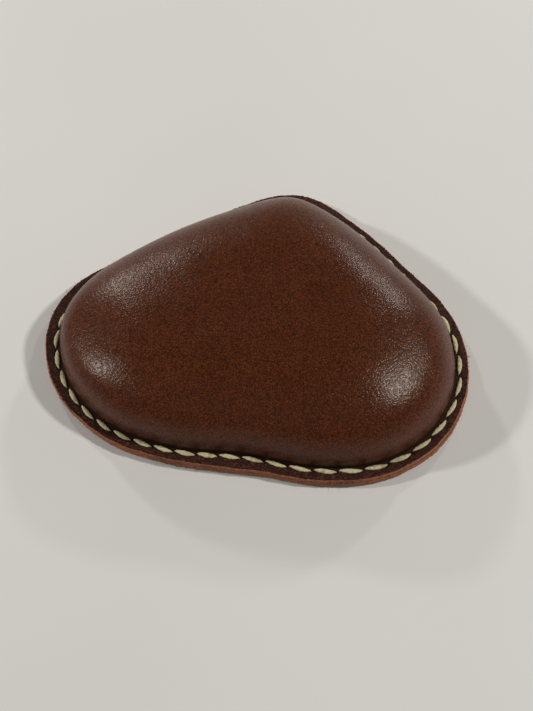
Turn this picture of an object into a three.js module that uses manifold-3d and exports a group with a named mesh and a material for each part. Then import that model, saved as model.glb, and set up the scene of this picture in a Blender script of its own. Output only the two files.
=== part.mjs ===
// Palm thimble: a three-lobed, wet-moulded leather pad with a saddle-stitched flange.
// A firm felt core fills the dome and a steel plate under it stops the needle.
// Lengths are millimetres, +Z is up, the origin is under the middle of the outline.

import * as THREE from 'three';
import { mergeGeometries, mergeVertices } from 'three/addons/utils/BufferGeometryUtils.js';
import Module from 'manifold-3d';

// The seam seen from above, anticlockwise from the left lobe.
const SEAM_POINTS = [
	[ - 43.2, - 1 ], [ - 38.5, - 12.8 ], [ - 28, - 21.2 ], [ - 14, - 24.3 ],
	[ 1, - 23.6 ], [ 16.5, - 24 ], [ 28.5, - 20.8 ], [ 37.5, - 13 ],
	[ 42, - 1 ], [ 39.2, 12.5 ], [ 27.7, 25.2 ], [ 14, 36.3 ],
	[ 1, 41.2 ], [ - 13, 34.6 ], [ - 29, 22.6 ], [ - 40, 10.5 ],
];
const CROWN = [ 0, 5.3 ];

// Leather and flange.
const LEATHER = 1;
const GLUE_LINE = 0.1;
const SEAM_LIFT = 0.8;
const SEAM_TO_EDGE = 2;
const SEAM_TO_DOME = 1.1;
const EDGE_BEVEL = 0.2;

// Dome and sole.
const DOME_HEIGHT = 15;
const GAIN_TO_RIGHT = 0.002;
const CROWN_ROUNDNESS = 1.9;
const SHOULDER_ROUNDNESS = 2.3;
const SHOULDER_TO_RIGHT = - 0.0085;
const SHOULDER_TO_BACK = - 0.021;
const SOLE_SLOPE_START = 1.3;
const SOLE_SLOPE_END = 5.5;

// Pieces inside, with the clearance round them.
const CLEARANCE = 0.3;
const PLATE_THICKNESS = 1;
const PLATE_BEVEL = 0.2;
const SEAM_TO_PLATE = 8;

// Saddle stitch.
const STITCHES = 48;
const FIRST_HOLE = 0.5;
const HOLE_DRIFT = 0.36;
const HOLE_DRIFT_PHASE = 0.5;
const HOLE_LENGTH = 1.2;
const HOLE_WIDTH = 1.2;
const THREAD_RADIUS = 0.36;
const THREAD_RADIUS_AT_MOUTH = 0.26;
const THREAD_RADIUS_IN_HOLE = 0.24;
const THREAD_SIDE_STEP = 0.3;
const THREAD_SIDES = 5;

// Points round each outline, and rings from the foot of a dome to its crown.
const OUTLINE_STEPS = 72;
const OUTER_RINGS = 10;
const INNER_RINGS = 7;

// Heights of the two leather layers at the flange.
const FLANGE_BOTTOM = SEAM_LIFT;
const LAYER_LOW = FLANGE_BOTTOM + LEATHER;
const LAYER_HIGH = LAYER_LOW + GLUE_LINE;
const FLANGE_TOP = LAYER_HIGH + LEATHER;

const wasm = await Module();
wasm.setup();

// ---- Outlines ----

// The line moved sideways: a positive distance is outwards.
function offsetLine( line, distance ) {

	return line.map( ( point, i ) => {

		const before = line.at( i - 1 );
		const after = line[ ( i + 1 ) % line.length ];
		const along = after.clone().sub( before ).normalize();
		return new THREE.Vector3( point.x + along.y * distance, point.y - along.x * distance, 0 );

	} );

}

function curveThrough( points ) {

	const corners = points.map( ( [ x, y ] ) => new THREE.Vector3( x, y, 0 ) );
	const curve = new THREE.CatmullRomCurve3( corners, true, 'centripetal' );
	curve.arcLengthDivisions = 2000;
	return curve;

}

// The offset that brings the middle of the cut edge to the origin.
function outlineMiddle() {

	const line = curveThrough( SEAM_POINTS ).getSpacedPoints( 1000 ).slice( 1 );
	const edge = new THREE.Box3().setFromPoints( offsetLine( line, SEAM_TO_EDGE ) );
	return edge.getCenter( new THREE.Vector3() );

}

const middle = outlineMiddle();
const seam = curveThrough( SEAM_POINTS.map( ( [ x, y ] ) => [ x - middle.x, y - middle.y ] ) );
const seamLine = seam.getSpacedPoints( OUTLINE_STEPS ).slice( 1 );
const crown = new THREE.Vector3( CROWN[ 0 ] - middle.x, CROWN[ 1 ] - middle.y, 0 );

// A level ring at a distance outside the seam.
function ring( distance, z ) {

	return offsetLine( seamLine, distance ).map( ( point ) => point.setZ( z ) );

}

// ---- Dome ----

// A smooth distance from the foot line: every stretch of the line counts, the nearest most.
function softDistance( point, foot ) {

	let pull = 0;
	foot.forEach( ( a, i ) => {

		const b = foot[ ( i + 1 ) % foot.length ];
		const x = ( a.x + b.x ) / 2 - point.x;
		const y = ( a.y + b.y ) / 2 - point.y;
		const step = Math.hypot( b.x - a.x, b.y - a.y );
		pull += step / Math.max( Math.hypot( x, y ), step ) ** 3;

	} );
	return Math.sqrt( 2 / pull );

}

// How far the dome rises at a point: steep at the foot, round at the crown, a little higher
// towards the right and less full in the shoulder towards the right and the back. The depth
// is 0 at the foot and 1 at the crown.
function domeRise( point, depth ) {

	const fromCrown = point.y - crown.y;
	const shoulder = SHOULDER_ROUNDNESS + SHOULDER_TO_RIGHT * point.x + SHOULDER_TO_BACK * fromCrown;
	const share = ( 1 - ( 1 - depth ) ** CROWN_ROUNDNESS ) ** ( 1 / shoulder );
	return DOME_HEIGHT * ( 1 + GAIN_TO_RIGHT * point.x ) * share;

}

// Rings from the foot line up to the crown, close together where the wall is steep.
function domeRings( distance, base, count ) {

	const foot = ring( distance, base );
	const fineFoot = offsetLine( seam.getSpacedPoints( 720 ).slice( 1 ), distance );
	const deepest = softDistance( crown, fineFoot );
	const rings = [ foot ];
	for ( let i = 1; i < count; i ++ ) {

		const inward = ( i / count ) ** 2;
		rings.push( foot.map( ( point ) => {

			const moved = point.clone().lerp( crown, inward );
			const depth = Math.min( softDistance( moved, fineFoot ) / deepest, 1 );
			return moved.setZ( base + domeRise( moved, depth ) );

		} ) );

	}

	return rings;

}

// Where a stitch number is along the seam, from 0 to 1. The holes are punched by eye:
// they drift either way from an even pitch, twice round the pad.
function seamShare( stitch ) {

	const even = stitch + FIRST_HOLE;
	const drift = Math.cos( 4 * Math.PI * even / STITCHES - HOLE_DRIFT_PHASE );
	return ( ( even + HOLE_DRIFT * drift ) / STITCHES ) % 1;

}

function crownPoint( z ) {

	return new THREE.Vector3( crown.x, crown.y, z );

}

// ---- Meshes ----

// A closed skin from a point underneath, out through the rings, and in to a point on top.
function skin( lowPoint, rings, highPoint ) {

	const vertices = [ lowPoint, ...rings.flat(), highPoint ];
	const indices = [];
	const n = OUTLINE_STEPS;
	const top = vertices.length - 1;
	for ( let i = 0; i < n; i ++ ) {

		const j = ( i + 1 ) % n;
		indices.push( 0, 1 + j, 1 + i );
		indices.push( top - n + i, top - n + j, top );
		for ( let r = 1; r < top - n; r += n ) {

			indices.push( r + i, r + j, r + n + j );
			indices.push( r + i, r + n + j, r + n + i );

		}

	}

	const geometry = new THREE.BufferGeometry().setFromPoints( vertices );
	geometry.setIndex( indices );
	return geometry;

}

function toSolid( geometry ) {

	const bare = geometry.clone();
	bare.deleteAttribute( 'normal' );
	bare.deleteAttribute( 'uv' );
	const merged = mergeVertices( bare );
	return new wasm.Manifold( new wasm.Mesh( {
		numProp: 3,
		vertProperties: new Float32Array( merged.attributes.position.array ),
		triVerts: new Uint32Array( merged.index.array )
	} ) );

}

function toGeometry( solid ) {

	const mesh = solid.getMesh();
	const geometry = new THREE.BufferGeometry();
	geometry.setAttribute( 'position', new THREE.BufferAttribute( mesh.vertProperties, 3 ) );
	geometry.setIndex( new THREE.BufferAttribute( mesh.triVerts, 1 ) );
	return geometry;

}

// One upright awl hole, long side along the seam.
function awlHole( index ) {

	const shape = new THREE.Shape();
	shape.moveTo( - HOLE_LENGTH / 2, - HOLE_WIDTH / 2 );
	shape.lineTo( HOLE_LENGTH / 2, - HOLE_WIDTH / 2 );
	shape.lineTo( HOLE_LENGTH / 2, HOLE_WIDTH / 2 );
	shape.lineTo( - HOLE_LENGTH / 2, HOLE_WIDTH / 2 );
	const hole = new THREE.ExtrudeGeometry( shape, { depth: 2 * FLANGE_TOP, bevelEnabled: false } );
	const place = seam.getPointAt( seamShare( index ) );
	const along = seam.getTangentAt( seamShare( index ) );
	hole.rotateZ( Math.atan2( along.y, along.x ) );
	return hole.translate( place.x, place.y, - FLANGE_TOP / 2 );

}

function punched( geometry ) {

	const holes = [];
	for ( let i = 0; i < STITCHES; i ++ ) holes.push( awlHole( i ) );
	return toGeometry( toSolid( geometry ).subtract( toSolid( mergeGeometries( holes ) ) ) );

}

function piece( name, geometry, color, roughness, metalness = 0 ) {

	const flat = geometry.toNonIndexed();
	flat.computeVertexNormals();
	const mesh = new THREE.Mesh( flat, new THREE.MeshStandardMaterial( { color, roughness, metalness } ) );
	mesh.name = name;
	return mesh;

}

// ---- Pieces ----

// Upper leather: the dome and its flange, one even thickness.
function topShell() {

	const inside = domeRings( - SEAM_TO_DOME - LEATHER, LAYER_HIGH, INNER_RINGS ).reverse();
	const outside = domeRings( - SEAM_TO_DOME, FLANGE_TOP, OUTER_RINGS );
	const edge = [
		ring( SEAM_TO_EDGE, LAYER_HIGH ),
		ring( SEAM_TO_EDGE, FLANGE_TOP - EDGE_BEVEL ),
		ring( SEAM_TO_EDGE - EDGE_BEVEL, FLANGE_TOP )
	];
	const low = crownPoint( LAYER_HIGH + domeRise( crown, 1 ) );
	const high = crownPoint( FLANGE_TOP + domeRise( crown, 1 ) );
	return punched( skin( low, [ ...inside, ...edge, ...outside ], high ) );

}

// Lower leather: flat in the middle, sloping up to the flange.
function sole() {

	const rings = [
		ring( - SOLE_SLOPE_END, 0 ),
		ring( - SOLE_SLOPE_START, FLANGE_BOTTOM ),
		ring( SEAM_TO_EDGE - EDGE_BEVEL, FLANGE_BOTTOM ),
		ring( SEAM_TO_EDGE, FLANGE_BOTTOM + EDGE_BEVEL ),
		ring( SEAM_TO_EDGE, LAYER_LOW ),
		ring( - SOLE_SLOPE_START, LAYER_LOW ),
		ring( - SOLE_SLOPE_END, LEATHER )
	];
	return punched( skin( crownPoint( 0 ), rings, crownPoint( LEATHER ) ) );

}

// Felt core: fills the dome, with a recess for the plate.
function palmCore() {

	const foot = - SEAM_TO_DOME - LEATHER - CLEARANCE;
	const floor = LEATHER + CLEARANCE;
	const recess = floor + PLATE_THICKNESS + CLEARANCE;
	const base = LAYER_LOW + CLEARANCE;
	const dome = domeRings( foot, base, INNER_RINGS );
	const crownHeight = base + domeRise( crown, 1 ) - CLEARANCE;
	dome.slice( 1 ).flat().forEach( ( point ) => point.z -= CLEARANCE );
	const underside = [
		ring( - SEAM_TO_PLATE + CLEARANCE, recess ),
		ring( - SEAM_TO_PLATE + CLEARANCE, floor ),
		ring( - SOLE_SLOPE_END - CLEARANCE, floor )
	];
	return skin( crownPoint( recess ), [ ...underside, ...dome ], crownPoint( crownHeight ) );

}

// Steel plate: follows the outline, lies on the sole under the core.
function needlePlate() {

	const low = LEATHER + CLEARANCE;
	const high = low + PLATE_THICKNESS;
	const rings = [
		ring( - SEAM_TO_PLATE - PLATE_BEVEL, low ),
		ring( - SEAM_TO_PLATE, low + PLATE_BEVEL ),
		ring( - SEAM_TO_PLATE, high - PLATE_BEVEL ),
		ring( - SEAM_TO_PLATE - PLATE_BEVEL, high )
	];
	return skin( crownPoint( low ), rings, crownPoint( high ) );

}

// ---- Thread ----

// One stitch as sections: how far along it, its height off the leather, and its radius.
const STITCH_SECTIONS = [
	{ at: 0.025, height: 0.32, radius: THREAD_RADIUS_AT_MOUTH },
	{ at: 0.35, height: 0.41, radius: THREAD_RADIUS },
	{ at: 0.65, height: 0.41, radius: THREAD_RADIUS },
	{ at: 0.975, height: 0.32, radius: THREAD_RADIUS_AT_MOUTH }
];

// A five-sided section across the seam at a point of the thread.
function threadSection( stitch, z, radius, lean, side ) {

	const centre = seam.getPointAt( seamShare( stitch ) );
	const along = seam.getTangentAt( seamShare( stitch ) );
	const across = new THREE.Vector3( along.y, - along.x, 0 );
	const upright = new THREE.Vector3( 0, 0, 1 ).multiplyScalar( Math.cos( lean ) );
	upright.addScaledVector( along, - Math.sin( lean ) );
	centre.addScaledVector( across, side * THREAD_SIDE_STEP * Math.cos( Math.PI * stitch ) );
	centre.z = z;
	const points = [];
	for ( let i = 0; i < THREAD_SIDES; i ++ ) {

		const turn = 2 * Math.PI * i / THREAD_SIDES;
		points.push( centre.clone()
			.addScaledVector( across, radius * Math.cos( turn ) )
			.addScaledVector( upright, radius * Math.sin( turn ) ) );

	}

	return points;

}

// A strand runs on top for one stitch and underneath for the next, all the way round.
function threadStrand( firstOnTop ) {

	const side = firstOnTop ? 1 : - 1;
	const sections = [];
	for ( let i = 0; i < STITCHES; i ++ ) {

		const up = ( i % 2 === 0 ) === firstOnTop ? 1 : - 1;
		const leather = up > 0 ? FLANGE_TOP : FLANGE_BOTTOM;
		const holeMiddle = ( FLANGE_BOTTOM + FLANGE_TOP ) / 2;
		sections.push( threadSection( i, holeMiddle, THREAD_RADIUS_IN_HOLE, up * Math.PI / 2, side ) );
		for ( const { at, height, radius } of STITCH_SECTIONS ) {

			const lean = at < 0.1 ? Math.PI / 4 : at > 0.9 ? - Math.PI / 4 : 0;
			sections.push( threadSection( i + at, leather + up * height, radius, up * lean, side ) );

		}

	}

	return closedTube( sections );

}

function closedTube( sections ) {

	const n = THREAD_SIDES;
	const indices = [];
	sections.forEach( ( section, s ) => {

		const a = s * n;
		const b = ( s + 1 ) % sections.length * n;
		for ( let i = 0; i < n; i ++ ) {

			const j = ( i + 1 ) % n;
			indices.push( a + i, b + j, a + j );
			indices.push( a + i, b + i, b + j );

		}

	} );
	const geometry = new THREE.BufferGeometry().setFromPoints( sections.flat() );
	geometry.setIndex( indices );
	return geometry;

}

// ---- Assembly ----

const thimble = new THREE.Group();
thimble.add( piece( 'top_shell', topShell(), 0x42200f, 0.5 ) );
thimble.add( piece( 'palm_core', palmCore(), 0x8c877c, 0.95 ) );
thimble.add( piece( 'needle_plate', needlePlate(), 0x9a9da0, 0.35, 1 ) );
thimble.add( piece( 'sole', sole(), 0x3b1f12, 0.7 ) );
thimble.add( piece( 'thread_first_needle', threadStrand( true ), 0xb9ad80, 0.8 ) );
thimble.add( piece( 'thread_second_needle', threadStrand( false ), 0xb9ad80, 0.8 ) );

export default thimble;
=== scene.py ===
"""Palm thimble: moulded brown leather dome, raw cut flange and cream saddle stitching."""
import math

import bpy
import numpy as np
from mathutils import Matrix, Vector


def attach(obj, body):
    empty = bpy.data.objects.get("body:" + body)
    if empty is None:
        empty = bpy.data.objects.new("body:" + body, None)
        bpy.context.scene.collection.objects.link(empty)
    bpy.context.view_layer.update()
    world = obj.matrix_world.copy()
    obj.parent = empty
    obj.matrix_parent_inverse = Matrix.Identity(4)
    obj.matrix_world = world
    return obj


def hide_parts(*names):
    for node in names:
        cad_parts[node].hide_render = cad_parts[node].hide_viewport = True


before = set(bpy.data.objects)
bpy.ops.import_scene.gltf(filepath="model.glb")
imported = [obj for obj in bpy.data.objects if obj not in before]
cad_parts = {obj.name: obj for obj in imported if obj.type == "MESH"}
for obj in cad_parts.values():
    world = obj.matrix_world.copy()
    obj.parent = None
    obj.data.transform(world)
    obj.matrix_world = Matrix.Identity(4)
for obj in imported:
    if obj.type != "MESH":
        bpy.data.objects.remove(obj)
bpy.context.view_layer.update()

MM = 0.001

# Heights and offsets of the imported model, in millimetres.
FLANGE_BOTTOM = 0.8
LAYER_LOW = 1.8
LAYER_HIGH = 1.9
FLANGE_TOP = 2.9
HOLE_MIDDLE = 1.85
EDGE_BEVEL = 0.2
SEAM_TO_EDGE = 2.0
SEAM_TO_DOME = 1.1
LEATHER = 1.0
SOLE_SLOPE_START = 1.3
SOLE_SLOPE_END = 5.5

# The dome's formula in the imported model: its wall is steepest at the front left.
DOME_HEIGHT = 15.0
GAIN_TO_RIGHT = 0.002
CROWN = (0.6, 5.6)
CROWN_ROUNDNESS = 1.9
SHOULDER_ROUNDNESS = 2.3
SHOULDER_TO_RIGHT = -0.0085
SHOULDER_TO_BACK = -0.021

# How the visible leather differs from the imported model, in millimetres.
EDGE_DROOP = 0.45
FILLET = 0.5
FRONT_TUCK = 0.45
INNER_WALL = 1.5

# Places along the edge where a layer was cut wider or narrower: x, y, extra width, reach.
WIDER_MARGINS = [(0, -27, 1.4, 6.5), (-43, 0, 0.8, 8), (-37, -14, 0.55, 8), (36, 14, 0.5, 9),
                 (8, 33, 0.7, 9), (-32, 12, -0.6, 8)]
LOWER_LAYER_SHIFTS = [(33, -17, 0.35, 13), (-33, -14, -0.4, 12)]

# Shallow hollows pressed in the shoulders of the dome: x, y, depth, reach.
HOLLOWS = [(-38, -15, 1.4, 9), (37, -14, 1.2, 9), (-35, 6, 1.0, 9), (18, 24, 0.5, 8)]

# Slight waves that hand moulding leaves in the dome: length, direction, height, start.
DOME_WAVES = [(15, 0.3, 0.050, 0.5), (11, 1.9, 0.035, 2.0), (18, 2.6, 0.055, 4.0),
              (8, 0.9, 0.020, 1.1)]

# The cut edge: how far it bulges and leans, and where its two layers meet.
EDGE_BULGE = 0.05
UPPER_EDGE_LEAN = 0.10
LOWER_EDGE_LEAN = 0.14
EDGE_ARRIS = 0.05
LAYERS_MEET = LAYER_HIGH - 0.02
LOWER_LAYER_TOP = LAYER_HIGH - 0.03

# How far short of the cut edge the leather's hidden sides, arris, top and underside stop.
HIDDEN_INSET = 0.12
ARRIS_INSET = 0.14
TOP_INSET = 0.24
UNDERSIDE_INSET = 0.35

# The frayed edge is a sum of small waves with random numbers of turns round the seam. Its
# arris frays less.
FRAY_HEIGHT = 0.018
FRAY_WAVES = 24
FRAY_COUNTS = (60, 560)
ARRIS_FRAY = 0.6

# Fineness of the visible meshes.
AROUND = 1200
SEAM_SAMPLES = 4800
SEAM_STRIDE = 8
EDGE_LEVELS = 9

# A distance, in millimetres, that is far from any hole or seam.
FAR = 30.0

rng = np.random.default_rng(7)


# ---- Outline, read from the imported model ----

# The rim is a smooth curve of this many harmonics, and all of it is seen from this point.
RIM_HARMONICS = 24
INSIDE_RIM = (0, 5)

# Vertices this close in height are level; this high above the flange they are a stitch's top.
SAME_LEVEL = 0.01
STITCH_CLEAR = 0.4

# Vertices of one awl hole lie within this distance of each other along the seam.
HOLE_SPREAD = 1.5


def node_points(name):
    """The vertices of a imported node, in millimetres."""
    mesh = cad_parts[name].data
    return np.array([v.co[:] for v in mesh.vertices]) / MM


def normals_of(line):
    """Outward normals of a closed anticlockwise line."""
    along = np.roll(line, -1, 0) - np.roll(line, 1, 0)
    along /= np.hypot(along[:, 0], along[:, 1])[:, None]
    return np.column_stack([along[:, 1], -along[:, 0]])


def even_steps(line, count):
    """The closed line resampled at even steps, and its length."""
    closed = np.vstack([line, line[:1]])
    run = np.concatenate([[0], np.cumsum(np.hypot(*np.diff(closed, axis=0).T))])
    at = np.linspace(0, run[-1], count, endpoint=False)
    x = np.interp(at, run, closed[:, 0])
    y = np.interp(at, run, closed[:, 1])
    return np.column_stack([x, y]), run[-1]


def smooth_closed(points, count, harmonics):
    """A smooth closed curve through evenly spaced points, by its first harmonics."""
    wave = np.fft.fft(points[:, 0] + 1j * points[:, 1]) / len(points)
    order = np.fft.fftfreq(len(points), 1 / len(points))
    turn = 2 * np.pi * np.arange(count) / count
    curve = np.zeros(count, complex)
    for k, weight in zip(order, wave):
        if abs(k) <= harmonics:
            curve += weight * np.exp(1j * k * turn)
    return np.column_stack([curve.real, curve.imag])


def read_rim():
    """The cut edge's outline, anticlockwise from the left."""
    points = node_points("top_shell")
    level = abs(points[:, 2] - (FLANGE_TOP - EDGE_BEVEL)) < SAME_LEVEL
    outline = np.unique(points[level][:, :2].round(3), axis=0)
    x, y = (outline - INSIDE_RIM).T
    return outline[np.argsort(np.arctan2(y, x))]


rim = smooth_closed(read_rim(), SEAM_SAMPLES, RIM_HARMONICS)
seam, seam_length = even_steps(rim - SEAM_TO_EDGE * normals_of(rim), SEAM_SAMPLES)
seam_out = normals_of(seam)
seam_step = seam_length / SEAM_SAMPLES


def seam_position(points):
    """How far along the seam the nearest seam point is, in millimetres."""
    gaps = points[:, None, :] - seam[None, ::SEAM_STRIDE, :]
    return np.argmin((gaps ** 2).sum(2), axis=1) * SEAM_STRIDE * seam_step


def read_holes():
    """Where the awl holes are along the seam, in order, from both strands' narrow middles."""
    both = np.vstack([node_points("thread_first_needle"), node_points("thread_second_needle")])
    middles = both[abs(both[:, 2] - HOLE_MIDDLE) < SAME_LEVEL]
    at = np.sort(seam_position(middles[:, :2]))
    groups = np.split(at, np.where(np.diff(at) > HOLE_SPREAD)[0] + 1)
    return np.array([group.mean() for group in groups])


holes = read_holes()


def first_strand_on_top():
    """True where the stitch after the first hole belongs to the first strand."""
    strand_points = node_points("thread_first_needle")
    above_flange = strand_points[strand_points[:, 2] > FLANGE_TOP + STITCH_CLEAR]
    from_stitch = abs(seam_position(above_flange[:, :2]) - (holes[0] + holes[1]) / 2)
    return bool(np.min(from_stitch) < HOLE_SPREAD)


def seam_frame(at):
    """Points on the seam and its outward normals at distances along it."""
    index = np.asarray(at) / seam_step
    low = np.floor(index).astype(int)
    share = (index - low)[:, None]
    here, there = low % SEAM_SAMPLES, (low + 1) % SEAM_SAMPLES
    points = seam[here] * (1 - share) + seam[there] * share
    out = seam_out[here] * (1 - share) + seam_out[there] * share
    return points, out / np.hypot(out[:, 0], out[:, 1])[:, None]


around_at = np.arange(AROUND) / AROUND * seam_length
around_seam, around_out = seam_frame(around_at)


def seam_ring(offset, z):
    """A ring that follows the seam at an offset outside it and at a height."""
    xy = around_seam + around_out * np.broadcast_to(offset, AROUND)[:, None]
    return np.column_stack([xy, np.broadcast_to(z, AROUND)])


def signed_offset(ring):
    """Distance outside the seam of each point of a ring."""
    return ((ring[:, :2] - around_seam) * around_out).sum(1)


def hole_distance(at):
    """Signed distance along the seam to the nearest hole."""
    gap = (np.asarray(at)[:, None] - holes[None, :] + seam_length / 2) % seam_length
    gap -= seam_length / 2
    nearest = np.argmin(abs(gap), axis=1)
    return gap[np.arange(len(gap)), nearest]


# ---- Meshes ----

# The material slot of each zone of the leather.
ZONE_SLOT = {"grain": 0, "cut": 1, "flesh": 2, "flange": 3}


def mesh_object(name, vertices, faces, materials):
    """A smooth-shaded piece from millimetre vertices."""
    mesh = bpy.data.meshes.new(name)
    mesh.from_pydata([tuple(v) for v in np.asarray(vertices) * MM], [], faces)
    mesh.shade_smooth()
    for material in materials:
        mesh.materials.append(material)
    piece = bpy.data.objects.new(name, mesh)
    bpy.context.scene.collection.objects.link(piece)
    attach(piece, "root")
    return piece


def skin_faces(ring_count, n, first=0, closed_tube=False):
    """Quads between rings of n points, whose vertices start at number first."""
    faces = []
    for r in range(ring_count if closed_tube else ring_count - 1):
        a = first + r * n
        b = first + (r + 1) % ring_count * n
        for i in range(n):
            j = (i + 1) % n
            faces.append((a + i, a + j, b + j, b + i))
    return faces


def cap_faces(first, point, upwards=True):
    """Triangles that close the ring whose vertices start at number first, at one point."""
    sides = [(first + i, first + (i + 1) % AROUND) for i in range(AROUND)]
    return [(a, b, point) if upwards else (b, a, point) for a, b in sides]


def band_slots(zones):
    """Material slots of the faces between rings; a cut ring on either side wins."""
    bands = ["cut" if "cut" in pair else pair[1] for pair in zip(zones, zones[1:])]
    return [ZONE_SLOT[band] for band in bands for _ in range(AROUND)]


def set_slots(piece, slots):
    """Give each face its material slot."""
    piece.data.polygons.foreach_set("material_index", np.array(slots, np.int32))


def point_attribute(piece, name, values):
    """A number at each vertex, for a material to read."""
    layer = piece.data.attributes.new(name, "FLOAT", "POINT")
    layer.data.foreach_set("value", np.asarray(values, np.float32))


# ---- The cut edge and the flange ----

# Depth and reach of the awl's dimples and of the groove that the thread lies in.
DIMPLE = 0.10
DIMPLE_ALONG = 0.40
DIMPLE_ACROSS = 0.45
GROOVE = 0.08
GROOVE_ACROSS = 0.55

# The fillet at the dome's foot starts this far inside the seam and rises over this width.
FILLET_START = 0.4
FILLET_WIDTH = 0.7


def bell(distance, reach):
    """1 at no distance, fading to 0 a little beyond the reach."""
    return np.exp(-(distance / reach) ** 2)


def waves(at, amplitudes, phases):
    """A slow unevenness round the seam: a sum of whole-number waves."""
    turn = 2 * np.pi * np.asarray(at) / seam_length
    return sum(a * np.sin(k * turn + p) for (k, a), p in zip(amplitudes, phases))


def near_places(at, places):
    """The extra width that a list of places gives along the seam."""
    points, _ = seam_frame(np.asarray(at) % seam_length)
    wide = np.zeros(len(points))
    for x, y, extra, reach in places:
        wide += extra * np.exp(-((points - (x, y)) ** 2).sum(1) / reach ** 2)
    return wide


def edge_wobble(at):
    """The hand-cut edge strays a little from an even margin."""
    slow = waves(at, [(3, 0.10), (5, 0.07), (9, 0.06), (14, 0.05)], [0.4, 2.1, 1.0, 4.0])
    quick = waves(at, [(31, 0.03), (53, 0.03)], [1.7, 0.2])
    return near_places(at, WIDER_MARGINS) + slow + quick


def frayed(at, layer):
    """Small nicks and loose ends along one level of the cut edge."""
    picks = np.random.default_rng(layer)
    turns = picks.integers(*FRAY_COUNTS, FRAY_WAVES)
    phases = picks.uniform(0, 2 * np.pi, FRAY_WAVES)
    return waves(at, [(int(k), FRAY_HEIGHT) for k in turns], phases)


def foot_offset(out):
    """How far inside the seam the dome starts: hard against the stitches at the front."""
    return SEAM_TO_DOME - FRONT_TUCK * np.clip(-out[:, 1], 0, 1)


def flange_height(at, across):
    """Height of the flange's top at an offset outside the seam."""
    dimple = DIMPLE * bell(hole_distance(at), DIMPLE_ALONG) * bell(across, DIMPLE_ACROSS)
    groove = GROOVE * bell(across, GROOVE_ACROSS)
    fillet = FILLET * np.clip((-FILLET_START - across) / FILLET_WIDTH, 0, 1) ** 2
    wave = waves(at, [(2, 0.10), (5, 0.05), (11, 0.03)], [2.0, 0.5, 3.0])
    outwards = np.clip((across + SEAM_TO_DOME) / (SEAM_TO_DOME + SEAM_TO_EDGE), 0, 1)
    return FLANGE_TOP - dimple - groove + fillet + wave * outwards


# ---- Upper leather ----

FLANGE_RINGS = 29
DOME_RINGS = 84
FOOT_SAMPLES = 1200

# How many rings of the dome's foot are burnished like the flange, and the power that crowds
# the dome's rings there.
BURNISHED_RINGS = 2
CROWDING = 1.9

# How softly the dome leaves its foot, as a share of the dome's depth.
FOOT_EASE = 0.006

# This close to the foot, the distance square to it is truer than the smooth one.
NEAR_FOOT = 0.6

# Up to about this height, the wall follows the flange's waves and is pulled in at each hole.
LOW_WALL = 1.6
HOLE_PULL = 0.07
PULL_ALONG = 0.9
PULL_START = 0.5

# Painted shade in the crease inside the seam: its offset, its reach and how fast it fades upwards.
CREASE_OFFSET = -0.7
CREASE_REACH = 0.9
CREASE_FADE = 5

# Painted shade at each hole, and how far up the wall the leather is darker and duller, like the
# flange.
HOLE_SHADE_ALONG = 0.6
HOLE_SHADE_ACROSS = 0.5
HOLE_SHADE_HEIGHT = 0.3
DARK_WALL_START = 0.1
DARK_WALL_HEIGHT = 1.8


def flange_rings():
    """Zoned rings of the upper leather, from inside the dome's wall, under the flange and
    round its cut edge to the foot of the dome."""
    edge = SEAM_TO_EDGE + edge_wobble(around_at)
    top = flange_height(around_at, edge)
    inside = -SEAM_TO_DOME - LEATHER
    rings = [("flesh", seam_ring(inside, LAYER_HIGH + INNER_WALL)),
             ("flesh", seam_ring(inside, LAYER_HIGH)),
             ("flesh", seam_ring(0, LAYER_HIGH)),
             ("flesh", seam_ring(edge - HIDDEN_INSET, LAYER_HIGH))]
    for level, share in enumerate(np.linspace(0, 1, EDGE_LEVELS)):
        bulge = EDGE_BULGE * math.sin(math.pi * share) - UPPER_EDGE_LEAN * share ** 3
        z = LAYERS_MEET + (top - EDGE_ARRIS - LAYERS_MEET) * share
        rings.append(("cut", seam_ring(edge + bulge + frayed(around_at, level), z)))
    arris = edge - ARRIS_INSET + ARRIS_FRAY * frayed(around_at, EDGE_LEVELS - 1)
    rings.append(("flange", seam_ring(arris, top - 0.01)))
    start = edge - TOP_INSET
    foot = foot_offset(around_out)
    for share in np.arange(1, FLANGE_RINGS + 1) / FLANGE_RINGS:
        offset = start * (1 - share) - foot * share
        rings.append(("flange", seam_ring(offset, flange_height(around_at, offset))))
    return rings


def soft_distance(points, foot_line, step):
    """A smooth distance from the foot line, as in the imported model: far from the line it
    blends all sides, and close to a straight line it is the distance itself."""
    batch = 4000
    result = np.empty(len(points))
    for start in range(0, len(points), batch):
        apart = points[start:start + batch, None, :] - foot_line[None, :, :]
        gap = np.hypot(apart[..., 0], apart[..., 1])
        total = (np.maximum(gap, step) ** -3.0).sum(1)
        result[start:start + batch] = (0.5 * step * total) ** -0.5
    return result


def dome_rise(xy, depth):
    """Height of the dome at a depth from 0 at its foot to 1 at its crown."""
    x, y = xy[..., 0], xy[..., 1]
    shoulder = SHOULDER_ROUNDNESS + SHOULDER_TO_RIGHT * x + SHOULDER_TO_BACK * (y - CROWN[1])
    share = (1 - (1 - depth) ** CROWN_ROUNDNESS) ** (1 / shoulder)
    rise = DOME_HEIGHT * (1 + GAIN_TO_RIGHT * x) * share
    for hollow_x, hollow_y, sunk, reach in HOLLOWS:
        away = ((x - hollow_x) ** 2 + (y - hollow_y) ** 2) / reach ** 2
        rise = rise - sunk * share ** 2 * np.exp(-away)
    for length, way, height, start in DOME_WAVES:
        run = x * math.cos(way) + y * math.sin(way)
        rise = rise + height * share ** 2 * np.sin(2 * np.pi * run / length + start)
    return rise


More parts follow.
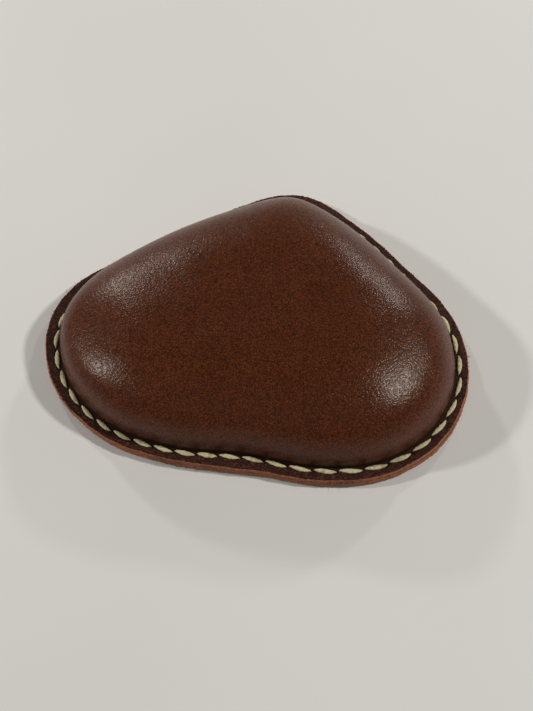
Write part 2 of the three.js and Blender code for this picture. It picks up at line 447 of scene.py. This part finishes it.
def dome_rings():
    """Rings over the dome, close together at its foot, and the point at its crown."""
    foot_line, foot_length = even_steps(seam - foot_offset(seam_out)[:, None] * seam_out,
                                        FOOT_SAMPLES)
    step = foot_length / FOOT_SAMPLES
    foot = around_seam - foot_offset(around_out)[:, None] * around_out
    centre = np.array(CROWN)
    deepest = soft_distance(centre[None], foot_line, step)[0]
    base = flange_height(around_at, -foot_offset(around_out))
    by_hole = HOLE_PULL * bell(hole_distance(around_at), PULL_ALONG)
    rings = []
    for i in range(1, DOME_RINGS):
        inward = (i / DOME_RINGS) ** CROWDING
        xy = foot + (centre - foot) * inward
        square = ((foot - centre) * around_out).sum(1) * inward
        near = bell(square, NEAR_FOOT)
        depth = (soft_distance(xy, foot_line, step) * (1 - near) + square * near) / deepest
        eased = np.clip(np.sqrt(depth ** 2 + FOOT_EASE ** 2) - FOOT_EASE, 0, 1)
        rise = dome_rise(xy, eased)
        low = np.exp(-rise / LOW_WALL)
        pull = by_hole * low * (1 - np.exp(-rise / PULL_START))
        xy = xy - around_out * pull[:, None]
        z = base * low + FLANGE_TOP * (1 - low) + rise
        rings.append(np.column_stack([xy, z]))
    return rings, [*CROWN, FLANGE_TOP + dome_rise(centre, 1)]


def mark_upper(piece, rings, heights):
    """Mark the painted shade in the crease inside the seam and at each hole, where the leather is
    near its flange, and how high.
    """
    offset = np.append(np.concatenate([signed_offset(ring) for ring in rings]), -FAR)
    gap = np.append(np.tile(hole_distance(around_at), len(rings)), FAR)
    height = np.clip((heights - FLANGE_TOP) / DOME_HEIGHT, 0, 1)
    above = np.maximum(heights - FLANGE_TOP - DARK_WALL_START, 0)
    # Painted shade: the crease at the dome's foot and each awl hole are darkened in the colour.
    seam_shade = bell(offset - CREASE_OFFSET, CREASE_REACH) * np.exp(-height * CREASE_FADE)
    hole_shade = bell(gap, HOLE_SHADE_ALONG) * bell(offset, HOLE_SHADE_ACROSS) * np.exp(-above / HOLE_SHADE_HEIGHT)
    point_attribute(piece, "seam_shade", np.maximum(seam_shade, hole_shade))
    # How far up the wall the leather is darker and duller, like the flange.
    point_attribute(piece, "flange", bell(above, DARK_WALL_HEIGHT))
    point_attribute(piece, "height", height)


def upper_leather(materials):
    """The upper leather in one skin: flange, cut edge and dome."""
    flange = flange_rings()
    dome, crown = dome_rings()
    rings = [ring for _, ring in flange] + dome
    zones = [zone for zone, _ in flange] + ["flange"] * BURNISHED_RINGS
    zones += ["grain"] * (len(dome) - BURNISHED_RINGS)
    vertices = np.vstack(rings + [[crown]])
    faces = skin_faces(len(rings), AROUND)
    faces += cap_faces((len(rings) - 1) * AROUND, len(vertices) - 1)
    piece = mesh_object("dome_leather", vertices, faces, materials)
    set_slots(piece, band_slots(zones) + [ZONE_SLOT["grain"]] * AROUND)
    mark_upper(piece, rings, vertices[:, 2])
    return piece


# ---- Lower leather ----

# Depth and reach of the dimples and the groove underneath, where the thread pulls harder.
SOLE_DIMPLE = 0.35
SOLE_DIMPLE_ALONG = 0.42
SOLE_DIMPLE_ACROSS = 0.5
SOLE_GROOVE = 0.14
SOLE_GROOVE_ACROSS = 0.6

# How much of the upper edge's unevenness the lower one shares, and how far it stands proud.
SHARED_WOBBLE = 0.9
LOWER_PROUD = 0.04

# Rings of the sole: shares of the way out over its flat middle, then counts.
MIDDLE_RINGS = (0.25, 0.5, 0.75, 0.9)
SLOPE_RINGS = 12
UNDERSIDE_RINGS = 20

# The lower layer's frayed levels start at this number, so that they differ from the upper's.
LOWER_FRAY = 20


def sole_flange_height(gap, offset):
    """Height of the underside's flange at an offset outside the seam."""
    dimple = SOLE_DIMPLE * bell(gap, SOLE_DIMPLE_ALONG) * bell(offset, SOLE_DIMPLE_ACROSS)
    groove = SOLE_GROOVE * bell(offset, SOLE_GROOVE_ACROSS)
    droop = EDGE_DROOP * max(0, offset / SEAM_TO_EDGE) ** 2
    return FLANGE_BOTTOM - droop + dimple + groove


def lower_rings():
    """Zoned rings of the lower leather, from its flat middle out, round the cut edge and back
    along its inner side."""
    shifts = near_places(around_at, LOWER_LAYER_SHIFTS)
    edge = SEAM_TO_EDGE + edge_wobble(around_at) * SHARED_WOBBLE + LOWER_PROUD + shifts
    gap = hole_distance(around_at)
    rings = []
    for share in MIDDLE_RINGS:
        xy = (around_seam - SOLE_SLOPE_END * around_out) * share
        rings.append(("grain", np.column_stack([xy, np.zeros(AROUND)])))
    for share in np.linspace(0, 1, SLOPE_RINGS):
        ease = share * share * (3 - 2 * share)
        offset = -SOLE_SLOPE_END + (SOLE_SLOPE_END - SOLE_SLOPE_START) * share
        rings.append(("grain", seam_ring(offset, FLANGE_BOTTOM * ease)))
    flange_end = SEAM_TO_EDGE - UNDERSIDE_INSET
    for offset in np.linspace(-SOLE_SLOPE_START, flange_end, UNDERSIDE_RINGS)[1:]:
        inside_edge = np.minimum(offset, edge - UNDERSIDE_INSET)
        rings.append(("grain", seam_ring(inside_edge, sole_flange_height(gap, offset))))
    low_edge = FLANGE_BOTTOM - EDGE_DROOP
    for level, share in enumerate(np.linspace(0, 1, EDGE_LEVELS)):
        bulge = EDGE_BULGE * math.sin(math.pi * share) - LOWER_EDGE_LEAN * (1 - share) ** 2
        z = low_edge + (LAYERS_MEET - low_edge) * share
        fray = frayed(around_at, LOWER_FRAY + level)
        rings.append(("cut", seam_ring(edge + bulge + fray, z)))
    rings += [("flesh", seam_ring(edge - HIDDEN_INSET, LOWER_LAYER_TOP)),
              ("flesh", seam_ring(0, LOWER_LAYER_TOP)),
              ("flesh", seam_ring(-SOLE_SLOPE_START, LAYER_LOW)),
              ("flesh", seam_ring(-SOLE_SLOPE_END, LEATHER))]
    return rings


def lower_leather(materials):
    """The sole: flat in the middle, sloped up to its raw-edged flange."""
    zoned = lower_rings()
    rings = [ring for _, ring in zoned]
    vertices = np.vstack([[[0, 0, 0]]] + rings + [[[0, 0, LEATHER]]])
    faces = skin_faces(len(rings), AROUND, first=1)
    faces += cap_faces(1, 0, upwards=False)
    faces += cap_faces(1 + (len(rings) - 1) * AROUND, len(vertices) - 1)
    slots = band_slots([zone for zone, _ in zoned])
    slots += [ZONE_SLOT["grain"]] * AROUND + [ZONE_SLOT["flesh"]] * AROUND
    piece = mesh_object("sole_leather", vertices, faces, materials)
    set_slots(piece, slots)
    return piece


# ---- Saddle stitch ----

STITCH_STEPS = 56
THREAD_SIDES = 24

# The thread's plies, and the length in which they make one turn, in millimetres.
PLIES = 3
PLY_LENGTH = 3.6

# The share of a stitch at each end that dips into its hole, and how deep it dips.
HIDDEN = 0.085
DIP = 0.9

# Half the thread's width and height at a stitch's ends, and how much it swells between them.
END_WIDTH, WIDTH_SWELL = 0.10, 0.38
END_HEIGHT, HEIGHT_SWELL = 0.12, 0.20
SWELL_POWER = 0.7

# How high a stitch lies at its ends, how much it arches, bows outwards and slants, how deep
# the lay of its plies is, and how much the stitches differ in thickness.
END_LIFT = 0.05
ARCH = 0.10
BOW = 0.10
SLANT = 0.17
PLY_DEPTH = 0.05
UNEVEN = 0.07


def stitch_section(at, share, up, slant, fat):
    """A twisted three-ply section of one stitch, at its share of the way between two holes."""
    shown = min(max((share - HIDDEN) / (1 - 2 * HIDDEN), 0), 1)
    body = math.sin(math.pi * shown) ** SWELL_POWER
    sunk = max(0, 1 - min(share, 1 - share) / HIDDEN)
    height = up * (ARCH * body + END_LIFT - DIP * sunk)
    wide = (END_WIDTH + WIDTH_SWELL * body) * fat
    thick = (END_HEIGHT + HEIGHT_SWELL * body) * fat
    lean = up * math.pi / 2 * sunk * (1 if share < 0.5 else -1)
    points, outs = seam_frame([at])
    out = outs[0]
    along = np.array([-out[1], out[0]])
    turn = np.linspace(0, 2 * np.pi, THREAD_SIDES, endpoint=False)
    lobes = 1 + PLY_DEPTH * np.cos(PLIES * (turn - at * 2 * np.pi / PLY_LENGTH))
    middle = slant * SLANT * math.cos(math.pi * share) + BOW * body
    across = wide * lobes * np.cos(turn) + middle
    rise = thick * lobes * np.sin(turn)
    xy = points[0] + np.outer(across, out) - np.outer(rise * math.sin(lean), along)
    leather = FLANGE_TOP if up > 0 else FLANGE_BOTTOM
    level = HOLE_MIDDLE if share == 0 else leather + height
    return np.column_stack([xy, level + rise * math.cos(lean)])


def strand(name, on_top_first, side, material):
    """One strand: over one stitch, through the hole, under the next, all the way round."""
    sections = []
    for k, start in enumerate(holes):
        length = (holes[(k + 1) % len(holes)] - start) % seam_length
        even = k % 2 == 0
        up = 1 if even == on_top_first else -1
        slant = side if even else -side
        fat = 1 + UNEVEN * math.sin(2.3 * k + side)
        for share in np.arange(STITCH_STEPS) / STITCH_STEPS:
            sections.append(stitch_section(start + length * share, share, up, slant, fat))
    faces = skin_faces(len(sections), THREAD_SIDES, closed_tube=True)
    return mesh_object(name, np.vstack(sections), faces, [material])


# ---- Fibres on the cut edge ----

# Where along the seam the cut edge is most frayed, as shares of its length, and how widely.
FIBRE_TUFTS = [0.02, 0.97, 0.22, 0.55]
TUFT_SPREAD = 0.012

# Lowest and highest values of a fibre's root height, length and radius, in millimetres.
FIBRE_HEIGHTS = (1.2, 2.8)
FIBRE_LENGTHS = (0.3, 1.1)
FIBRE_RADII = (0.035, 0.07)

# How deep in the edge a fibre is rooted, how much it tapers, and how far it strays and bends.
FIBRE_ROOT = 0.1
FIBRE_TAPER = 0.8
AIM_SPREAD = 0.6
BEND_SPREAD = 0.4
FIBRE_RINGS = 5
FIBRE_SIDES = 3


def fibre_points(at):
    """The rings of one bent, tapering fibre that grows out of the cut edge."""
    points, outs = seam_frame([at])
    reach = SEAM_TO_EDGE + edge_wobble([at])[0] - FIBRE_ROOT
    root = np.array([*(points[0] + outs[0] * reach), rng.uniform(*FIBRE_HEIGHTS)])
    aim = np.array([*outs[0], 0.0]) + rng.uniform(-AIM_SPREAD, AIM_SPREAD, 3)
    bend = rng.uniform(-BEND_SPREAD, BEND_SPREAD, 3)
    length = rng.uniform(*FIBRE_LENGTHS)
    radius = rng.uniform(*FIBRE_RADII)
    turn = np.arange(FIBRE_SIDES) * 2 * math.pi / FIBRE_SIDES
    ring = np.column_stack([np.cos(turn), np.sin(turn), np.sin(turn + 1)])
    rings = []
    for share in np.linspace(0, 1, FIBRE_RINGS):
        centre = root + (aim * share + bend * share ** 2) * length
        rings.append(centre + ring * radius * (1 - FIBRE_TAPER * share))
    return np.vstack(rings)


def edge_fibres(count, material):
    """Short loose fibres that stand out of the raw edge: half in tufts, half anywhere."""
    in_tufts = count // 2
    tufts = rng.normal(rng.choice(FIBRE_TUFTS, in_tufts), TUFT_SPREAD)
    starts = np.concatenate([rng.uniform(0, 1, count - in_tufts), tufts]) % 1
    vertices = []
    faces = []
    for k, at in enumerate(starts * seam_length):
        vertices.append(fibre_points(at))
        faces += skin_faces(FIBRE_RINGS, FIBRE_SIDES, first=k * FIBRE_RINGS * FIBRE_SIDES)
    return mesh_object("edge_fibres", np.vstack(vertices), faces, [material])


# ---- Materials ----

class Graph:
    """Short calls for building one material's nodes. Lengths are in metres, scales per metre."""

    def __init__(self, name):
        self.material = bpy.data.materials.new(name)
        self.material.use_nodes = True
        self.tree = self.material.node_tree
        self.shader = self.tree.nodes["Principled BSDF"]
        self.place = self.tree.nodes.new("ShaderNodeTexCoord").outputs["Object"]

    def put(self, socket, value):
        """Link an output to a socket, or set a number or a colour on it."""
        if hasattr(value, "is_linked"):
            self.tree.links.new(value, socket)
        elif isinstance(value, tuple) and socket.type == "RGBA":
            socket.default_value = (*value, 1)
        else:
            socket.default_value = value

    def node(self, kind, values=None, **settings):
        node = self.tree.nodes.new(kind)
        for key, value in settings.items():
            setattr(node, key, value)
        for key, value in (values or {}).items():
            self.put(node.inputs[key], value)
        return node

    def noise(self, scale, detail=3.0, roughness=0.55, distortion=0.0, place=None):
        values = {"Vector": place or self.place, "Scale": scale, "Detail": detail,
                  "Roughness": roughness, "Distortion": distortion}
        return self.node("ShaderNodeTexNoise", values).outputs["Fac"]

    def cells(self, scale, feature="F1", place=None, smoothness=0.5):
        values = {"Vector": place or self.place, "Scale": scale}
        if feature == "SMOOTH_F1":
            values["Smoothness"] = smoothness
        return self.node("ShaderNodeTexVoronoi", values, feature=feature).outputs["Distance"]

    def stretched(self, x, y, z):
        """Object coordinates scaled by a factor along each axis."""
        values = {"Vector": self.place, "Scale": (x, y, z)}
        return self.node("ShaderNodeMapping", values).outputs["Vector"]

    def bent(self, scale, reach):
        """Object coordinates pushed about by a noise."""
        push = self.node("ShaderNodeTexNoise", {"Vector": self.place, "Scale": scale, "Detail": 1.0})
        centred = self.node("ShaderNodeVectorMath", {0: push.outputs["Color"], 1: (0.5, 0.5, 0.5)},
                            operation="SUBTRACT")
        shift = self.node("ShaderNodeVectorMath", {0: centred.outputs[0], "Scale": 2 * reach},
                          operation="SCALE")
        moved = self.node("ShaderNodeVectorMath", {0: self.place, 1: shift.outputs[0]})
        return moved.outputs[0]

    def attribute(self, name):
        return self.node("ShaderNodeAttribute", attribute_name=name).outputs["Fac"]

    def math(self, operation, a, b, clamp=False):
        node = self.node("ShaderNodeMath", {0: a, 1: b}, operation=operation, use_clamp=clamp)
        return node.outputs[0]

    def spread(self, value, low, high, to_low=0.0, to_high=1.0):
        """A value from low to high, mapped to a value from to_low to to_high."""
        values = {"Value": value, "From Min": low, "From Max": high,
                  "To Min": to_low, "To Max": to_high}
        return self.node("ShaderNodeMapRange", values).outputs["Result"]

    def blend(self, amount, a, b):
        """Colour a turned into colour b by an amount."""
        node = self.node("ShaderNodeMix", {0: amount, 6: a, 7: b}, data_type="RGBA")
        return node.outputs[2]

    def bump(self, height, strength, distance, under=None):
        values = {"Height": height, "Strength": strength, "Distance": distance}
        if under:
            values["Normal"] = under
        return self.node("ShaderNodeBump", values).outputs["Normal"]

    def finish(self, **sockets):
        """Fill in the shader's sockets, which are named with _ for a space."""
        for key, value in sockets.items():
            self.put(self.shader.inputs[key.replace("_", " ")], value)
        return self.material


def dome_leather_material():
    """Waxed full-grain leather: finely creased, mottled brown, dull and dark by the seam, with
    painted shade in the crease and at the holes and painted light on the lower sides of the dome.
    """
    dark_brown, light_brown = (0.105, 0.0243, 0.0064), (0.125, 0.0306, 0.0085)
    # The second colour here is painted light for the lower sides of the dome.
    warm_patch, painted_flank_light = (0.133, 0.0295, 0.0068), (0.185, 0.0350, 0.0066)
    crease_line, worm_line = (0.020, 0.0050, 0.0019), (0.026, 0.0062, 0.0020)
    pore, by_flange = (0.014, 0.0045, 0.002), (0.0480, 0.0085, 0.0028)
    # The colour of the painted shade in the crease and at the holes.
    burnish_and_shade = (0.0200, 0.0042, 0.0018)
    g = Graph("dome leather")
    mottle = g.noise(85, 3, 0.6)
    drift = g.noise(28, 2)
    bent = g.bent(900, 0.0004)
    pebbles = g.cells(2200, "SMOOTH_F1", place=bent, smoothness=0.4)
    creases = g.cells(2200, "DISTANCE_TO_EDGE", place=bent)
    worms = g.noise(2300, 1.0, 0.5, distortion=1.3)
    pores = g.cells(1000)
    flank_light_mask = g.spread(g.attribute("height"), 0.98, 0.4)
    flange = g.attribute("flange")
    colour = g.blend(g.spread(mottle, 0.35, 0.68), dark_brown, light_brown)
    colour = g.blend(g.spread(drift, 0.4, 0.7, 0, 0.5), colour, warm_patch)
    # Painted light: the lower sides of the dome are painted brighter and redder than its top.
    colour = g.blend(g.math("MULTIPLY", flank_light_mask, 0.75), colour, painted_flank_light)
    colour = g.blend(g.spread(creases, 0.19, 0.03, 0, 0.8), colour, crease_line)
    colour = g.blend(g.spread(worms, 0.53, 0.40, 0, 0.75), colour, worm_line)
    colour = g.blend(g.spread(pores, 0.14, 0.04, 0, 0.5), colour, pore)
    colour = g.blend(g.math("MULTIPLY", flange, 0.4), colour, by_flange)
    # Painted shade in the crease at the dome's foot and at the holes.
    seam_shade = g.math("MULTIPLY", g.attribute("seam_shade"), 0.8, clamp=True)
    colour = g.blend(seam_shade, colour, burnish_and_shade)
    rough = g.spread(g.noise(500, 2), 0.3, 0.7, 0.26, 0.32)
    rough = g.math("ADD", rough, g.math("MULTIPLY", flange, 0.34))
    normal = g.bump(g.noise(330, 2), 0.20, 0.00012)
    normal = g.bump(worms, 0.35, 0.00010, normal)
    normal = g.bump(g.spread(pebbles, 0.65, 0.1), 0.6, 0.00005, normal)
    return g.finish(Base_Color=colour, Roughness=rough, Normal=normal, Specular_IOR_Level=0.26,
                    Specular_Tint=(1.0, 0.91, 0.78))


def flange_leather_material():
    """The same leather pressed flat outside the stitches: nearly black, matte, dusty."""
    dark, light = (0.0260, 0.0070, 0.0036), (0.0400, 0.0115, 0.0062)
    # Dust specks, and the colour of the painted shade in the crease and at the holes.
    dust, burnish_and_shade = (0.115, 0.050, 0.033), (0.0140, 0.0036, 0.0018)
    g = Graph("flange leather")
    specks = g.noise(2600, 3, 0.65)
    colour = g.blend(g.spread(g.noise(300, 3, 0.6), 0.35, 0.68), dark, light)
    colour = g.blend(g.spread(specks, 0.50, 0.66, 0, 0.9), colour, dust)
    # Painted shade in the crease inside the seam and at the holes.
    seam_shade = g.math("MULTIPLY", g.attribute("seam_shade"), 0.8, clamp=True)
    colour = g.blend(seam_shade, colour, burnish_and_shade)
    normal = g.bump(specks, 0.5, 0.00008)
    return g.finish(Base_Color=colour, Roughness=0.72, Normal=normal, Specular_IOR_Level=0.12)


def cut_edge_material():
    """Raw cut leather: light red-brown, fibrous, a little darker where it was burnished."""
    dark, light, burnish_and_shade = (0.23, 0.080, 0.038), (0.47, 0.190, 0.098), (0.095, 0.036, 0.020)
    g = Graph("cut edge")
    fibres = g.noise(1, 4, 0.6, place=g.stretched(1500, 1500, 5200))
    colour = g.blend(g.spread(fibres, 0.3, 0.7), dark, light)
    colour = g.blend(g.spread(g.noise(240, 3), 0.5, 0.72, 0, 0.5), colour, burnish_and_shade)
    normal = g.bump(g.noise(2600, 4, 0.65), 0.8, 0.00012)
    return g.finish(Base_Color=colour, Roughness=0.85, Normal=normal, Specular_IOR_Level=0.25)


def fibre_material():
    """Loose red-brown fibres of the cut edge."""
    dark, light = (0.16, 0.045, 0.022), (0.38, 0.12, 0.06)
    g = Graph("loose fibres")
    colour = g.blend(g.spread(g.noise(900, 2), 0.35, 0.65), dark, light)
    return g.finish(Base_Color=colour, Roughness=0.8, Specular_IOR_Level=0.2)


def flesh_material():
    """The suede-like inner side of the leather."""
    dark, light = (0.13, 0.055, 0.03), (0.25, 0.12, 0.07)
    g = Graph("flesh side")
    nap = g.noise(1800, 4, 0.7)
    colour = g.blend(g.spread(nap, 0.3, 0.7), dark, light)
    return g.finish(Base_Color=colour, Roughness=0.95, Normal=g.bump(nap, 0.7, 0.00015),
                    Specular_IOR_Level=0.2)


def sole_leather_material():
    """Smoother, flatter leather underneath, slightly worn where it rests."""
    dark, light, worn = (0.034, 0.0125, 0.0065), (0.062, 0.023, 0.011), (0.105, 0.043, 0.022)
    g = Graph("sole leather")
    grain = g.cells(1700, "SMOOTH_F1", smoothness=0.5)
    rubbed = g.noise(30, 5, 0.7)
    colour = g.blend(g.spread(g.noise(110, 4, 0.6), 0.35, 0.7), dark, light)
    colour = g.blend(g.spread(rubbed, 0.52, 0.7, 0, 0.45), colour, worn)
    rough = g.spread(rubbed, 0.4, 0.7, 0.5, 0.68)
    normal = g.bump(grain, 0.5, 0.00008, g.bump(g.noise(420, 3), 0.4, 0.00015))
    return g.finish(Base_Color=colour, Roughness=rough, Normal=normal)


def thread_material():
    """Waxed linen thread, cream with darker wax in the lay of the plies."""
    dark, light, wax = (0.47, 0.395, 0.21), (0.74, 0.65, 0.385), (0.24, 0.17, 0.085)
    g = Graph("waxed thread")
    fibre = g.noise(3200, 3, 0.6)
    colour = g.blend(g.spread(fibre, 0.3, 0.7), dark, light)
    colour = g.blend(g.spread(g.noise(420, 3, 0.6), 0.56, 0.72, 0, 0.7), colour, wax)
    normal = g.bump(fibre, 0.7, 0.00006)
    return g.finish(Base_Color=colour, Roughness=0.62, Normal=normal, Specular_IOR_Level=0.4)


def felt_material():
    """Pressed grey wool felt."""
    dark, light, fleck = (0.19, 0.18, 0.16), (0.34, 0.32, 0.29), (0.09, 0.085, 0.08)
    g = Graph("wool felt")
    wool = g.noise(2400, 5, 0.7)
    colour = g.blend(g.spread(wool, 0.3, 0.7), dark, light)
    colour = g.blend(g.spread(g.noise(700, 3), 0.6, 0.72, 0, 0.5), colour, fleck)
    return g.finish(Base_Color=colour, Roughness=0.95, Normal=g.bump(wool, 0.8, 0.0002),
                    Specular_IOR_Level=0.2)


def plate_material():
    """Cold-rolled steel sheet with faint rolling lines."""
    dark, light = (0.42, 0.43, 0.45), (0.56, 0.57, 0.59)
    g = Graph("steel plate")
    lines = g.noise(1, 4, 0.6, place=g.stretched(60, 6000, 60))
    colour = g.blend(g.spread(lines, 0.3, 0.7), dark, light)
    rough = g.spread(lines, 0.3, 0.7, 0.28, 0.42)
    return g.finish(Base_Color=colour, Roughness=rough, Normal=g.bump(lines, 0.25, 0.00004),
                    Metallic=1.0)


def floor_material():
    """A pale floor with slow changes of tone."""
    dark, light = (0.69, 0.670, 0.625), (0.715, 0.695, 0.650)
    g = Graph("pale floor")
    colour = g.blend(g.spread(g.noise(9, 2), 0.35, 0.65), dark, light)
    return g.finish(Base_Color=colour, Roughness=0.7, Specular_IOR_Level=0.3)


# ---- The piece ----

FIBRE_COUNT = 110

grain, cut, flesh = dome_leather_material(), cut_edge_material(), flesh_material()

upper = upper_leather([grain, cut, flesh, flange_leather_material()])
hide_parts("top_shell")

lower = lower_leather([sole_leather_material(), cut, flesh])
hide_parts("sole")

thread = thread_material()
first_on_top = first_strand_on_top()
for name, node, on_top_first, side in (
        ("first_strand", "thread_first_needle", first_on_top, 1),
        ("second_strand", "thread_second_needle", not first_on_top, -1)):
    piece = strand(name, on_top_first, side, thread)
    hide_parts(node)

fibres = edge_fibres(FIBRE_COUNT, fibre_material())

for name, material in (("palm_core", felt_material()), ("needle_plate", plate_material())):
    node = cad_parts[name]
    node.data.materials.clear()
    node.data.materials.append(material)


# ---- Floor, lights and camera ----

# Azimuth, elevation and watts of each lamp. Lamps are square and stand at one distance.
LAMPS = {"right lamp": (83, 47.5, 3.1), "left lamp": (-99, 34, 2.3),
         "back left lamp": (-40.5, 26.5, 1.2), "back right lamp": (22.3, 26.5, 1.0)}
LAMP_DISTANCE = 0.8
LAMP_SIZE = 0.045

CAMERA_AZIMUTH = 9
CAMERA_ELEVATION = 60
CAMERA_DISTANCE = 0.2179
CAMERA_TARGET = (0.0026, -0.0109, 0.008)
CAMERA_LENS = 53.8

FLOOR_HALF = 3.0

# How bright the dim room is everywhere, and what its walls and its window add.
ROOM_LIGHT = 0.08
WALL_BEHIND = 0.4
WALL_ASIDE = 0.15
WINDOW_AHEAD = 0.4


def turned(azimuth, elevation, ahead):
    """The direction at an azimuth from +Y (ahead 1) or -Y (ahead -1) towards +X, in degrees."""
    a, e = math.radians(azimuth), math.radians(elevation)
    return Vector((math.sin(a) * math.cos(e), ahead * math.cos(a) * math.cos(e), math.sin(e)))


def add_floor():
    """A plain square floor under the object."""
    mesh = bpy.data.meshes.new("floor")
    h = FLOOR_HALF
    mesh.from_pydata([(-h, -h, 0), (h, -h, 0), (h, h, 0), (-h, h, 0)], [], [(0, 1, 2, 3)])
    mesh.materials.append(floor_material())
    floor = bpy.data.objects.new("floor", mesh)
    bpy.context.scene.collection.objects.link(floor)


def add_lamp(name, azimuth, elevation, power):
    """A small square lamp that points at the object, at an azimuth clockwise from +Y."""
    data = bpy.data.lights.new(name, "AREA")
    data.shape = "RECTANGLE"
    data.size, data.size_y = LAMP_SIZE, LAMP_SIZE
    data.energy = power
    lamp = bpy.data.objects.new(name, data)
    bpy.context.scene.collection.objects.link(lamp)
    direction = turned(azimuth, elevation, 1)
    lamp.location = direction * LAMP_DISTANCE
    lamp.rotation_euler = direction.to_track_quat("Z", "Y").to_euler()


def add_camera():
    """The camera, aimed at its target from the front and above."""
    data = bpy.data.cameras.new("camera")
    data.sensor_width = 36
    data.lens = CAMERA_LENS
    data.clip_start = 0.01
    camera = bpy.data.objects.new("camera", data)
    bpy.context.scene.collection.objects.link(camera)
    back = turned(CAMERA_AZIMUTH, CAMERA_ELEVATION, -1)
    camera.location = Vector(CAMERA_TARGET) + back * CAMERA_DISTANCE
    camera.rotation_euler = back.to_track_quat("Z", "Y").to_euler()
    bpy.context.scene.camera = camera


def add_world():
    """A dim room: brighter low down behind and beside the object and high up in front."""
    world = bpy.data.worlds.new("studio")
    world.use_nodes = True
    nodes, links = world.node_tree.nodes, world.node_tree.links
    background = nodes["Background"]
    background.inputs["Color"].default_value = (1.0, 0.985, 0.96, 1)
    place = nodes.new("ShaderNodeTexCoord")
    split = nodes.new("ShaderNodeSeparateXYZ")
    links.new(place.outputs["Generated"], split.inputs[0])
    x, y, z = split.outputs

    def math_node(operation, a, b=0.0):
        node = nodes.new("ShaderNodeMath")
        node.operation = operation
        for socket, value in zip(node.inputs, (a, b)):
            if hasattr(value, "is_linked"):
                links.new(value, socket)
            else:
                socket.default_value = value
        return node.outputs[0]

    low = math_node("POWER", math_node("SUBTRACT", 1.0, z), 2.0)
    behind = math_node("MULTIPLY", math_node("MAXIMUM", y, 0.0), WALL_BEHIND)
    aside = math_node("MULTIPLY", math_node("ABSOLUTE", x), WALL_ASIDE)
    walls = math_node("MULTIPLY", math_node("ADD", behind, aside), low)
    ahead = math_node("MAXIMUM", math_node("MULTIPLY", y, -WINDOW_AHEAD), 0.0)
    window = math_node("MULTIPLY", ahead, math_node("MAXIMUM", z, 0.0))
    room = math_node("ADD", window, walls)
    links.new(math_node("ADD", room, ROOM_LIGHT), background.inputs["Strength"])
    bpy.context.scene.world = world


add_floor()
add_world()
for name, (azimuth, elevation, power) in LAMPS.items():
    add_lamp(name, azimuth, elevation, power)
add_camera()
bpy.context.scene.view_settings.view_transform = "Standard"
